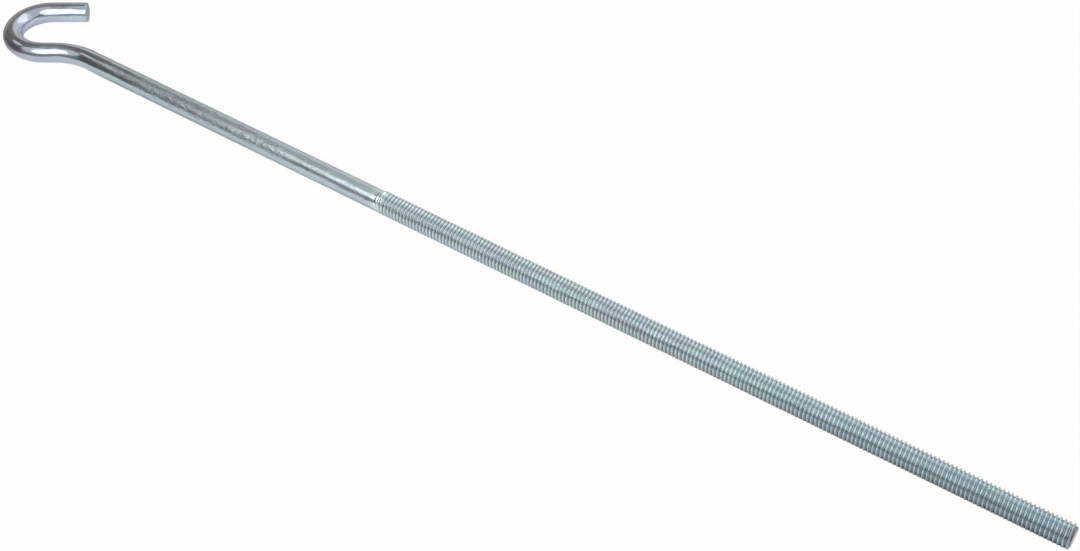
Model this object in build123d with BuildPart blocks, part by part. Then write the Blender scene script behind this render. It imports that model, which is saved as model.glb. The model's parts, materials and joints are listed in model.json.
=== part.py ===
"""Turnbuckle hook: one zinc-plated steel rod, bent to an open hook at one end and threaded at the other.

The rod's axis is the X axis. The threaded end's flat is at the origin and faces +X, the hook is at -X,
its bends lie in the XY plane, and its mouth opens towards +X and +Y. Lengths are in millimetres and
angles in degrees.
"""

import os

from build123d import *

# Thread, a right-hand 3/8-16 rolled into the rod; the solid here is its cylinder over the crests
thread_crest_diameter = 9.3
thread_length = 290.6
thread_point_chamfer = 1.0
thread_runout_length = 1.6

# Plain rod, which is the blank that the thread is rolled into
rod_diameter = 8.65
shank_length = 156.8

# Offset bend, which swings the rod aside so that the hook's bowl ends up in line with the thread
offset_inside_radius = 23.0
offset_angle = 36.9
throat_length = 4.2

# Hook
bowl_inside_radius = 10.9
bowl_angle = 180.0
tip_length = 14.8
tip_edge_radius = 0.6

# Places along the X axis
thread_start_x = -thread_length
shank_start_x = thread_start_x - shank_length

# Rod radii, and the radii of the bends at the rod's middle
rod_radius = rod_diameter / 2
thread_radius = thread_crest_diameter / 2
thread_point_radius = thread_radius - thread_point_chamfer
offset_bend_radius = offset_inside_radius + rod_radius
bowl_bend_radius = bowl_inside_radius + rod_radius

# Centre line of the plain rod, from the thread round to the hook's tip
with BuildLine() as centre_line:
    shank = Line((thread_start_x, 0), (shank_start_x, 0))
    offset_bend = JernArc(shank @ 1, shank % 1, offset_bend_radius, offset_angle)
    throat_end = offset_bend @ 1 + (offset_bend % 1) * throat_length
    throat = Line(offset_bend @ 1, throat_end)
    bowl_bend = JernArc(throat @ 1, throat % 1, bowl_bend_radius, -bowl_angle)
    tip_end = bowl_bend @ 1 + (bowl_bend % 1) * tip_length
    tip = Line(bowl_bend @ 1, tip_end)

with BuildPart() as hook_rod:
    # Plain rod with both bends
    with BuildSketch(Plane(origin=shank @ 0, z_dir=shank % 0)):
        Circle(rod_radius)
    sweep(path=centre_line.wires()[0])

    # Edge of the cropped tip, rounded where it was deburred
    tip_face = hook_rod.faces().sort_by_distance(tip @ 1).first
    fillet(tip_face.edges(), tip_edge_radius)

    # Threaded length: a cone where the thread runs out into the shank, and a chamfered point
    with BuildSketch(Plane.XY):
        with BuildLine():
            Polyline(
                (thread_start_x, 0),
                (thread_start_x, rod_radius),
                (thread_start_x + thread_runout_length, thread_radius),
                (-thread_point_chamfer, thread_radius),
                (0, thread_point_radius),
                (0, 0),
                close=True,
            )
        make_face()
    revolve(axis=Axis.X)

hook_rod.part.label = "hook_rod"

os.makedirs("parts", exist_ok=True)
export_step(hook_rod.part, "parts/hook_rod.step")
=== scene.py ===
"""Turnbuckle hook, dressed: the threaded and bright zinc plated rod on a white studio floor.

Lengths are in metres, in the part's own frame. The rod's axis is the X axis, with the threaded end's flat
at the origin, the hook at -X, and the hook's bends in the XY plane.
"""

import json
import math

import bpy
import numpy as np
from mathutils import Matrix, Vector


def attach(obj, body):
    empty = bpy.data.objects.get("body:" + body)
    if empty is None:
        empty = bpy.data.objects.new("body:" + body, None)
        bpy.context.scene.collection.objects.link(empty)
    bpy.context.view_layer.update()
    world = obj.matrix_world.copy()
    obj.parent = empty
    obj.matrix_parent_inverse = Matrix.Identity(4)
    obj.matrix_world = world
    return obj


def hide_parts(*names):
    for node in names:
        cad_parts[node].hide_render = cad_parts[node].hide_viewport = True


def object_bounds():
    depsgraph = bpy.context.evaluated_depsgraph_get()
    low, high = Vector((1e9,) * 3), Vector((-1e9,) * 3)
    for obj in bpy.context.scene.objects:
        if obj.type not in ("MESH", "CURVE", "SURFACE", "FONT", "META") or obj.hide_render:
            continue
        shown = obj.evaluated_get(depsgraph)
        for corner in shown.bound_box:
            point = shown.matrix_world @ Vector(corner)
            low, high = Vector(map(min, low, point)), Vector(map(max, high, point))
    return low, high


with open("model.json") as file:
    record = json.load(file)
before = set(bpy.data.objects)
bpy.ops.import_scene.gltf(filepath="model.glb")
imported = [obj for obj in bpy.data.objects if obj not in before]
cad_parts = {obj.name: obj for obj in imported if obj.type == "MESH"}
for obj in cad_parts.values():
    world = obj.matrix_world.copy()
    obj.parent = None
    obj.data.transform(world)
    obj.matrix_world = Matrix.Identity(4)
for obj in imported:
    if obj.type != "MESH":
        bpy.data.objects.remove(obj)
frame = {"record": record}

cad_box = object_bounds()

# Hook rod
# One length of drawn steel rod, cropped at both ends. One end is bent cold to an open hook with an offset,
# the other is rolled between dies to a right-hand thread, and the whole is then plated in bright zinc.
MILLIMETRE = 0.001
thread_mount = next(mount for mount in frame["record"]["mounts"] if mount["name"] == "thread")
crest_radius = thread_mount["dims"]["r_mm"] * MILLIMETRE
thread_pitch = 25.4 / 16 * MILLIMETRE
thread_length = 290.6 * MILLIMETRE
thread_depth = 0.54 * thread_pitch
runout_length = 1.6 * MILLIMETRE
point_chamfer = 1.0 * MILLIMETRE
rod_radius = 4.325 * MILLIMETRE
shank_length = 156.8 * MILLIMETRE
offset_radius = 23.0 * MILLIMETRE + rod_radius
offset_angle = math.radians(36.9)
throat_length = 4.2 * MILLIMETRE
bowl_radius = 10.9 * MILLIMETRE + rod_radius
bowl_angle = math.radians(180.0)
tip_length = 14.8 * MILLIMETRE
tip_edge = 0.6 * MILLIMETRE
points_around = 48
thread_start = -thread_length
angles = np.linspace(0.0, 2 * math.pi, points_around + 1)


def bent_line(start, heading, radius, turn, steps):
    """Points and headings along an arc that starts at a point with a heading and turns left by an angle.

    The heading after a part turn is the first heading rotated by it, and the point is the arc's centre plus
    the radius times the heading's right-hand normal. A negative turn goes right about the other side.
    """
    side = math.copysign(1.0, turn)
    part = np.linspace(0.0, turn, steps)
    cos, sin = np.cos(part), np.sin(part)
    headings = np.stack([heading[0] * cos - heading[1] * sin, heading[0] * sin + heading[1] * cos], axis=1)
    rights = np.stack([headings[:, 1], -headings[:, 0]], axis=1)
    centre = start - side * radius * rights[0]
    return centre + side * radius * rights, headings


def straight_line(start, heading, length, steps):
    """Points evenly spaced from a start along a heading, with that heading repeated for each."""
    return start + np.linspace(0.0, length, steps)[:, None] * heading, np.tile(heading, (steps, 1))


def grid_triangles(rows, columns, first):
    """Two triangles for each cell of a grid of points, facing outwards where rows run along +X."""
    corner = first + np.arange(rows - 1)[:, None] * columns + np.arange(columns - 1)
    low, right, high, left = corner, corner + 1, corner + columns + 1, corner + columns
    one = np.stack([low, right, high], axis=-1).reshape(-1, 3)
    other = np.stack([low, high, left], axis=-1).reshape(-1, 3)
    return np.concatenate([one, other])


def bent_rod():
    """Plain rod from the tip to the thread: a circle carried along the hook's line and the shank.

    Each row is a circle of the rod's radius in the plane square to the line. At the tip the circles shrink
    along a quarter round to the cropped face and then to its middle. It gives the points, and the same
    points with the rod laid out straight, which the finish follows.
    """
    shank = straight_line(np.array([thread_start, 0.0]), np.array([-1.0, 0.0]), shank_length, 100)
    offset = bent_line(shank[0][-1], shank[1][-1], offset_radius, offset_angle, 28)
    throat = straight_line(offset[0][-1], offset[1][-1], throat_length, 6)
    bowl = bent_line(throat[0][-1], throat[1][-1], bowl_radius, -bowl_angle, 72)
    tip = straight_line(bowl[0][-1], bowl[1][-1], tip_length - tip_edge, 14)
    stretches = [shank, offset, throat, bowl, tip]
    tip_end, tip_heading = tip[0][-1], tip[1][-1]
    rounding = np.linspace(0.0, math.pi / 2, 6)[1:]
    rounded = tip_end + tip_edge * np.sin(rounding)[:, None] * tip_heading
    face_shares = np.array([0.8, 0.5, 0.2, 0.0])
    cropped = np.tile(rounded[-1], (len(face_shares), 1))
    points = np.concatenate([stretch[0] for stretch in stretches] + [rounded, cropped])
    end_headings = np.tile(tip_heading, (len(rounded) + len(cropped), 1))
    headings = np.concatenate([stretch[1] for stretch in stretches] + [end_headings])
    face_radius = rod_radius - tip_edge
    radii = np.concatenate([
        np.full(len(points) - len(end_headings), rod_radius),
        face_radius + tip_edge * np.cos(rounding),
        face_radius * face_shares,
    ])
    along = np.concatenate([[0.0], np.cumsum(np.linalg.norm(np.diff(points, axis=0), axis=1))])
    points, headings, radii, along = points[::-1], headings[::-1], radii[::-1], along[::-1]
    across = np.stack([headings[:, 1], -headings[:, 0]], axis=1)
    out = radii[:, None] * np.cos(angles)
    up = radii[:, None] * np.sin(angles)
    x = points[:, :1] + across[:, :1] * out
    y = points[:, 1:] + across[:, 1:] * out
    unbent_x = np.broadcast_to(thread_start - along[:, None], out.shape)
    return np.stack([x, y, up], axis=-1), np.stack([unbent_x, out, up], axis=-1)


def thread_profile():
    """One pitch of the thread: places along the pitch as shares, from crest to crest, and their radii.

    The flanks stand at 60 degrees to each other between a flat crest of an eighth of the pitch and a root
    that takes what they leave, and each corner is eased over a small share, as dies leave it.
    """
    crest_share = 1 / 8
    ease_share = 0.025
    crest_end = crest_share / 2
    root_start = crest_end + math.tan(math.radians(30)) * thread_depth / thread_pitch
    eased = 0.3 * ease_share / (root_start - crest_end)
    half = np.array([
        [crest_end - ease_share, 0.0],
        [crest_end + ease_share, ease_share / (root_start - crest_end) + eased / 2],
        [root_start - ease_share, 1 - ease_share / (root_start - crest_end) - eased / 2],
        [root_start + 2 * ease_share, 1.0],
    ])
    mirrored_glow_painted_shade = np.stack([1 - half[::-1, 0], half[::-1, 1]], axis=1)
    shares, depths = np.concatenate([half, mirrored_glow_painted_shade]).T
    return shares, crest_radius - thread_depth * depths


def threaded_rod():
    """Right-hand screw surface over turns and angle, from the run-out at the shank to the point.

    The point at turn t and angle a lies at x = start + pitch * (t + a / full turn), so that each row of the
    grid follows the helix. The plain rod flares to the crests over the run-out. From halfway along it the
    groove sinks to the profile's depth, over twice the run-out's length, and the point's cone cuts the end.
    Rows that reach past an end are drawn together on it. It gives the points, and how deep in the groove
    each lies as a share.
    """
    shares, radii = thread_profile()
    whole_turns = np.arange(-1, math.ceil(thread_length / thread_pitch) + 1)
    turns = (whole_turns[:, None] + shares).ravel()
    profile = np.tile(radii, len(whole_turns))[:, None]
    x = thread_start + thread_pitch * (turns[:, None] + angles / (2 * math.pi))
    x = np.clip(x, thread_start, 0.0)
    runouts = (x - thread_start) / runout_length
    flare = np.clip(runouts, 0.0, 1.0)
    flare = flare * flare * (3 - 2 * flare)
    sunk = np.clip(runouts - 0.5, 0.0, 2.0) / 2
    groove = sunk * (crest_radius - profile)
    radius = rod_radius + flare * (crest_radius - rod_radius) - groove
    radius = np.minimum(radius, crest_radius - point_chamfer - x)
    points = np.stack([x, radius * np.cos(angles), radius * np.sin(angles)], axis=-1)
    return points, groove / thread_depth


def end_face():
    """Flat of the threaded end: circles that shrink to its middle."""
    radius = (crest_radius - point_chamfer) * np.array([1.0, 0.7, 0.35, 0.0])[:, None]
    across = radius * np.cos(angles)
    up = radius * np.sin(angles)
    return np.stack([np.zeros_like(up), across, up], axis=-1)


plain, plain_unbent = bent_rod()
threaded, threaded_depth = threaded_rod()
flat = end_face()
grids = [plain, threaded, flat]
unbent_grids = [plain_unbent, threaded, flat]
depth_grids = [np.zeros(plain.shape[:2]), threaded_depth, np.zeros(flat.shape[:2])]
corners = np.concatenate([grid.reshape(-1, 3) for grid in grids])
unbent = np.concatenate([grid.reshape(-1, 3) for grid in unbent_grids])
depth = np.concatenate([grid.ravel() for grid in depth_grids])
firsts = np.cumsum([0] + [grid.shape[0] * grid.shape[1] for grid in grids])
triangles = np.concatenate([
    grid_triangles(grid.shape[0], grid.shape[1], first) for grid, first in zip(grids, firsts)
])

# Points that meet at seams, poles and ends become one, and the triangles drawn together there go
weld_step = 1e-7
_, kept, index = np.unique(np.round(corners / weld_step).astype(np.int64), axis=0,
                           return_index=True, return_inverse=True)
triangles = index.reshape(-1)[triangles]
triangles = triangles[np.all(triangles != np.roll(triangles, 1, axis=1), axis=1)]
corners, unbent, depth = corners[kept], unbent[kept], depth[kept]

rod_mesh = bpy.data.meshes.new("plated_hook_rod")
rod_mesh.from_pydata(corners, [], triangles)
rod_mesh.polygons.foreach_set("use_smooth", np.ones(len(rod_mesh.polygons), bool))
rod_mesh.set_sharp_from_angle(angle=math.radians(50))
laid_straight = rod_mesh.attributes.new("laid_straight", "FLOAT_VECTOR", "POINT")
laid_straight.data.foreach_set("vector", unbent.astype(np.float32).ravel())
groove_depth = rod_mesh.attributes.new("groove_depth", "FLOAT", "POINT")
groove_depth.data.foreach_set("value", depth.astype(np.float32))
rod = bpy.data.objects.new("plated_hook_rod", rod_mesh)
bpy.context.scene.collection.objects.link(rod)

zinc = bpy.data.materials.new("bright_zinc_plate")
zinc.use_nodes = True
zinc_tree = zinc.node_tree
zinc_shader = zinc_tree.nodes["Principled BSDF"]
zinc_shader.inputs["Metallic"].default_value = 1.0


def add_node(tree, kind, inputs, **settings):
    """A node of a kind with its settings, whose inputs are each set to a value or joined to an output."""
    node = tree.nodes.new(kind)
    for name, value in settings.items():
        setattr(node, name, value)
    for name, value in inputs.items():
        if isinstance(value, bpy.types.NodeSocket):
            tree.links.new(value, node.inputs[name])
        else:
            node.inputs[name].default_value = value
    return node


def add_math(tree, operation, *terms):
    """The result of an operation on one to three terms, each a value or an output."""
    node = add_node(tree, "ShaderNodeMath", dict(enumerate(terms)), operation=operation)
    return node.outputs["Value"]


def add_share(tree, value, start, end, easing="LINEAR"):
    """A share that goes from 0 where the value is at the start to 1 where it is at the end."""
    node = add_node(tree, "ShaderNodeMapRange", {
        "Value": value, "From Min": start, "From Max": end,
    }, interpolation_type=easing)
    return node.outputs["Result"]


def add_ramp(tree, factor, stops):
    """A colour ramp over a factor from 0 to 1, with a grey or a colour at each place."""
    ramp = add_node(tree, "ShaderNodeValToRGB", {"Fac": factor})
    ramp.color_ramp.interpolation = "EASE"
    elements = ramp.color_ramp.elements
    elements.remove(elements[1])
    for place, _ in stops[1:]:
        elements.new(place)
    for element, (place, colour) in zip(elements, stops):
        element.position = place
        element.color = (*np.broadcast_to(colour, 3), 1.0)
    return ramp.outputs["Color"]


# Along is 0 at the hook's tip and 1 at the threaded end, and follows the bends
rod_length = thread_length + float(np.max(thread_start - unbent[:, 0]))
place = add_node(zinc_tree, "ShaderNodeAttribute", {}, attribute_name="laid_straight").outputs["Vector"]
place_parts = add_node(zinc_tree, "ShaderNodeSeparateXYZ", {"Vector": place})
along = add_share(zinc_tree, place_parts.outputs["X"], -rod_length, 0.0)


def from_tip(distance):
    """Share of the rod's length at a distance in millimetres from the hook's tip."""
    return distance * MILLIMETRE / rod_length


def add_noise(tree, vector, lengths, detail):
    """Noise whose blobs have these three lengths in millimetres."""
    stretch = add_node(tree, "ShaderNodeVectorMath", {
        0: vector, 1: [1 / (length * MILLIMETRE) for length in lengths],
    }, operation="MULTIPLY").outputs["Vector"]
    return add_node(tree, "ShaderNodeTexNoise", {
        "Vector": stretch, "Scale": 1.0, "Detail": detail, "Roughness": 0.55,
    }).outputs["Fac"]


# The plate is bluish, with clouds of lilac and green. It is paler on the rolled thread, and darker at the
# two cropped ends.
clouds = add_noise(zinc_tree, place, (11.0, 5.0, 5.0), 2.0)
cloud_colour = add_ramp(zinc_tree, clouds, [
    (0.32, (0.97, 0.94, 1.00)),
    (0.50, (0.94, 0.97, 1.00)),
    (0.66, (0.93, 1.00, 0.97)),
])
plate_colour = add_ramp(zinc_tree, along, [
    (from_tip(0.0), (0.50, 0.60, 0.68)),
    (from_tip(1.0), (0.60, 0.65, 0.73)),
    (from_tip(70.0), (0.60, 0.65, 0.73)),
    (from_tip(95.0), (0.58, 0.69, 0.725)),
    (from_tip(238.0), (0.63, 0.735, 0.765)),
    (from_tip(242.0), (0.85, 0.96, 0.985)),
    (from_tip(340.0), (0.85, 0.96, 0.985)),
    (1.0 - from_tip(1.6), (0.73, 0.84, 0.88)),
    (1.0 - from_tip(0.6), (0.52, 0.50, 0.57)),
])

# Painted shade and dirt darken the grooves of the thread, with less towards the end. The painted shade
# stands in for the shade that the flanks cast into the roots, and the dirt also dulls the grooves.
groove = add_node(zinc_tree, "ShaderNodeAttribute", {}, attribute_name="groove_depth").outputs["Fac"]
groove_darkening = add_ramp(zinc_tree, along, [(from_tip(242.0), 1.0), (1.0, 0.78)])
darkened_groove = add_math(zinc_tree, "MULTIPLY", groove, groove_darkening)
groove_dirt_and_shade = add_ramp(zinc_tree, darkened_groove, [(0.1, 1.0), (0.5, 0.76), (1.0, (0.38, 0.395, 0.40))])
groove_dullness = 0.22


def multiply_colours(tree, one, other):
    """The product of two colours, channel by channel."""
    product = add_node(tree, "ShaderNodeMix", {}, data_type="RGBA", blend_type="MULTIPLY")
    product.inputs["Factor"].default_value = 1.0
    tree.links.new(one, product.inputs[6])
    tree.links.new(other, product.inputs[7])
    return product.outputs[2]


clouded_colour = multiply_colours(zinc_tree, plate_colour, cloud_colour)
# The plate's colour takes the painted groove shade and the dirt
zinc_colour = multiply_colours(zinc_tree, clouded_colour, groove_dirt_and_shade)
zinc_tree.links.new(zinc_colour, zinc_shader.inputs["Base Color"])
gloss = add_ramp(zinc_tree, along, [
    (from_tip(80.0), 0.13),
    (from_tip(110.0), 0.21),
    (from_tip(238.0), 0.26),
    (from_tip(242.0), 0.17),
])
dulled = add_math(zinc_tree, "MULTIPLY_ADD", groove, groove_dullness, gloss)
zinc_tree.links.new(dulled, zinc_shader.inputs["Roughness"])

# Drawing leaves streaks along the rod, and the grip of the bending tool a mottled stretch beyond the offset
streaks = add_noise(zinc_tree, place, (7.0, 0.8, 0.8), 3.0)
mottles = add_noise(zinc_tree, place, (1.7, 0.8, 0.8), 4.0)
waves = add_noise(zinc_tree, place, (10.0, 3.5, 3.5), 1.0)
wear = add_ramp(zinc_tree, along, [
    (from_tip(0.0), 0.08),
    (from_tip(82.0), 0.10),
    (from_tip(100.0), 0.35),
    (from_tip(125.0), 1.0),
    (from_tip(188.0), 1.0),
    (from_tip(205.0), 0.35),
    (from_tip(238.0), 0.30),
])
streak_share = 0.5
relief_depth = 0.26 * MILLIMETRE
marks = add_math(zinc_tree, "MULTIPLY_ADD", streaks, streak_share, mottles)
relief = add_math(zinc_tree, "MULTIPLY_ADD", marks, wear, waves)
bump = add_node(zinc_tree, "ShaderNodeBump", {"Height": relief, "Strength": 1.0, "Distance": relief_depth})
zinc_tree.links.new(bump.outputs["Normal"], zinc_shader.inputs["Normal"])
rod_mesh.materials.append(zinc)

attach(rod, "root")
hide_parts("hook_rod")

# Floor
# A white sheet that the rod lies on. It is white where it is seen, and keeps the shadow that lies close
# under the rod. Where the rod mirrors it, painted shade darkens it towards its edge beyond the hook and to
# both sides
# of the rod: the shade is painted into the sheet's colour and into a glow that the rod's reflections see.
floor_half = 4.0
floor_z = cad_box[0].z
floor_mesh = bpy.data.meshes.new("floor")
floor_corners = floor_half * np.array([[-1, -1], [1, -1], [1, 1], [-1, 1]])
floor_mesh.from_pydata(np.column_stack([floor_corners, np.full(4, floor_z)]), [], [(0, 1, 2, 3)])
floor = bpy.data.objects.new("floor", floor_mesh)
bpy.context.scene.collection.objects.link(floor)

white = bpy.data.materials.new("white_sheet")
white.use_nodes = True
white_tree = white.node_tree
white_tree.nodes.clear()
floor_place = add_node(white_tree, "ShaderNodeTexCoord", {}).outputs["Object"]
floor_parts = add_node(white_tree, "ShaderNodeSeparateXYZ", {"Vector": floor_place})
along_sheet = add_share(white_tree, floor_parts.outputs["X"], -0.54, 0.0)
across_sheet = add_share(white_tree, floor_parts.outputs["Y"], -0.06, 0.06)
shade_across = add_ramp(white_tree, across_sheet, [
    (0.08, 0.33), (0.28, 0.86), (0.46, 0.86), (0.54, 1.0), (0.64, 1.0), (0.76, 0.52), (0.95, 0.48),
])


def shade_sheet(stops):
    """Painted shade of the sheet: a ramp along the rod times the fall-off to both sides of it."""
    return multiply_colours(white_tree, add_ramp(white_tree, along_sheet, stops), shade_across)


# The paper's colour holds painted shade: darker beyond the hook, towards the threaded end and to both sides
paper = add_node(white_tree, "ShaderNodeBsdfDiffuse", {"Color": shade_sheet([
    (0.05, 0.28), (0.12, 0.90), (0.5, 0.93), (1.0, 0.70),
])})
bright = add_node(white_tree, "ShaderNodeEmission", {"Strength": 1.0})
# A glow that the rod's reflections see, with painted shade: dark and warm beyond the hook, darker to both
# sides
mirrored_glow_painted_shade = add_node(white_tree, "ShaderNodeEmission", {"Strength": 1.05, "Color": shade_sheet([
    (0.0, (0.42, 0.33, 0.29)), (0.055, (0.42, 0.34, 0.31)), (0.085, 0.40), (0.108, 0.85),
    (0.125, 1.0), (0.42, 1.0), (0.6, 0.94), (1.0, 0.92),
])})
ray = add_node(white_tree, "ShaderNodeLightPath", {})
seen = add_math(white_tree, "MAXIMUM", ray.outputs["Is Camera Ray"], ray.outputs["Is Transmission Ray"])
seen_share = add_math(white_tree, "MULTIPLY", seen, 0.98)
mirrored_share = add_math(white_tree, "MULTIPLY", ray.outputs["Is Glossy Ray"], 0.6)

# The shadow lies along the straight length. It fades out where the offset bend starts, and stops just short
# of the point.
shank_end = thread_start - shank_length
shadow_fade_start = shank_end + 14 * MILLIMETRE
shadow_fade_end = shank_end - 6 * MILLIMETRE
shadow_stop = -0.4 * point_chamfer
aside = add_math(white_tree, "ABSOLUTE", floor_parts.outputs["Y"])
past_shank = add_share(
    white_tree, floor_parts.outputs["X"], shadow_fade_start, shadow_fade_end, easing="SMOOTHSTEP",
)
past_point = add_math(white_tree, "GREATER_THAN", floor_parts.outputs["X"], shadow_stop)
past_straight = add_math(white_tree, "MAXIMUM", past_shank, past_point)


def add_glow(surface, glow, share, fade_start, fade_end):
    """The surface with a glow mixed in by a share.

    Beside the rod's straight length the glow fades in between two distances from its axis, given in
    millimetres, so that the rod's shadow stays.
    """
    beside = add_share(
        white_tree, aside, fade_start * MILLIMETRE, fade_end * MILLIMETRE, easing="SMOOTHSTEP",
    )
    open_floor = add_math(white_tree, "MAXIMUM", beside, past_straight)
    return add_node(white_tree, "ShaderNodeMixShader", {
        "Fac": add_math(white_tree, "MULTIPLY", share, open_floor), 1: surface, 2: glow.outputs["Emission"],
    }).outputs["Shader"]


sheet = add_glow(paper.outputs["BSDF"], mirrored_glow_painted_shade, mirrored_share, fade_start=2.0, fade_end=11.0)
sheet = add_glow(sheet, bright, seen_share, fade_start=1.55, fade_end=2.15)
add_node(white_tree, "ShaderNodeOutputMaterial", {"Surface": sheet})
floor_mesh.materials.append(white)

# Light
# A light tent: a long soft box close in front of the rod and above it, dimmer towards the hook, a large one
# far behind on the thread's side, a panel close behind and a pale roof. Beyond the hook the tent is open to
# a dim room, in which one more soft box stands.
world = bpy.data.worlds.new("studio")
bpy.context.scene.world = world
world.use_nodes = True
world_tree = world.node_tree
way = add_node(world_tree, "ShaderNodeSeparateXYZ", {
    "Vector": add_node(world_tree, "ShaderNodeTexCoord", {}).outputs["Generated"],
})

# Over the rod from behind to the front, as a share of a half turn
over_rod = add_math(world_tree, "ARCTAN2", way.outputs["Z"], way.outputs["Y"])
half_turn = add_math(world_tree, "DIVIDE", over_rod, math.pi)
tent = add_ramp(world_tree, half_turn, [
    (0.0, 0.50), (0.17, 0.50), (0.30, 0.40), (0.42, 0.28),
    (0.52, 0.30), (0.60, 0.30), (0.75, 0.20), (1.0, 0.28),
])
dim_room = add_ramp(world_tree, half_turn, [
    (0.0, (0.56, 0.51, 0.48)),
    (0.15, (0.47, 0.43, 0.40)),
    (0.30, (0.24, 0.205, 0.19)),
    (0.46, (0.19, 0.16, 0.155)),
    (0.60, (0.21, 0.18, 0.175)),
    (0.74, (0.175, 0.145, 0.14)),
    (0.88, (0.13, 0.11, 0.105)),
    (1.0, (0.13, 0.11, 0.105)),
])
beyond_hook = add_share(world_tree, way.outputs["X"], -0.38, -0.58, easing="SMOOTHSTEP")
room_light = add_node(world_tree, "ShaderNodeMix", {}, data_type="RGBA")
world_tree.links.new(beyond_hook, room_light.inputs["Factor"])
world_tree.links.new(tent, room_light.inputs[6])
world_tree.links.new(dim_room, room_light.inputs[7])
world_tree.links.new(room_light.outputs[2], world_tree.nodes["Background"].inputs["Color"])


def add_lamp(name, place, aim_x, width, height, radiance, tilt=0.0):
    """An oval area lamp turned to a place on the rod's axis, and then about its own by a tilt in degrees.

    Its power is the radiance times the oval's area times pi.
    """
    lamp = bpy.data.lights.new(name, "AREA")
    lamp.shape = "ELLIPSE"
    lamp.size = width
    lamp.size_y = height
    oval_area = math.pi * width * height / 4
    lamp.energy = radiance * math.pi * oval_area
    lamp_object = bpy.data.objects.new(name, lamp)
    aim = Vector((aim_x, 0.0, 0.0)) - Vector(place)
    turn = aim.to_track_quat("-Z", "Y").to_matrix() @ Matrix.Rotation(math.radians(tilt), 3, "Z")
    lamp_object.matrix_world = Matrix.Translation(place) @ turn.to_4x4()
    lamp_object.visible_camera = False
    bpy.context.scene.collection.objects.link(lamp_object)


# The two in front overlap, so they stand at different distances: in one plane they would hide each other
add_lamp("soft_box", (-0.24, -0.222, 0.252), aim_x=-0.24, width=0.54, height=0.41, radiance=1.05)
add_lamp("soft_box_end", (-0.40, -0.228, 0.255), aim_x=-0.40, width=0.54, height=0.39, radiance=0.46)
add_lamp("back_box", (0.28, 2.22, 1.87), aim_x=-0.30, width=4.2, height=1.5, radiance=0.62, tilt=38.0)
add_lamp("back_panel", (-0.20, 0.33, 0.23), aim_x=-0.20, width=1.3, height=0.40, radiance=0.29)
add_lamp("roof", (-0.10, 0.06, 0.36), aim_x=-0.10, width=1.0, height=0.40, radiance=0.36)
add_lamp("far_box", (-1.30, -0.26, 0.85), aim_x=-0.45, width=0.55, height=0.40, radiance=0.55)

# Camera
# It stands in front of the threaded end and looks down along the rod to the hook. Its place, turn and lens
# were fitted to the outline of the rod and to the spacing of its thread.
camera = bpy.data.cameras.new("camera")
camera.sensor_width = 36.0
camera.lens = 60.0
camera_azimuth = math.radians(32.454)
camera_elevation = math.radians(42.525)
camera_roll = math.radians(2.605)
camera_place = Vector((0.0547, -0.42245, 0.46061))
camera_object = bpy.data.objects.new("camera", camera)
camera_object.matrix_world = (
    Matrix.Translation(camera_place)
    @ Matrix.Rotation(camera_azimuth, 4, "Z")
    @ Matrix.Rotation(math.pi / 2 - camera_elevation, 4, "X")
    @ Matrix.Rotation(camera_roll, 4, "Z")
)
bpy.context.scene.collection.objects.link(camera_object)
bpy.context.scene.camera = camera_object
bpy.context.scene.view_settings.view_transform = "Standard"
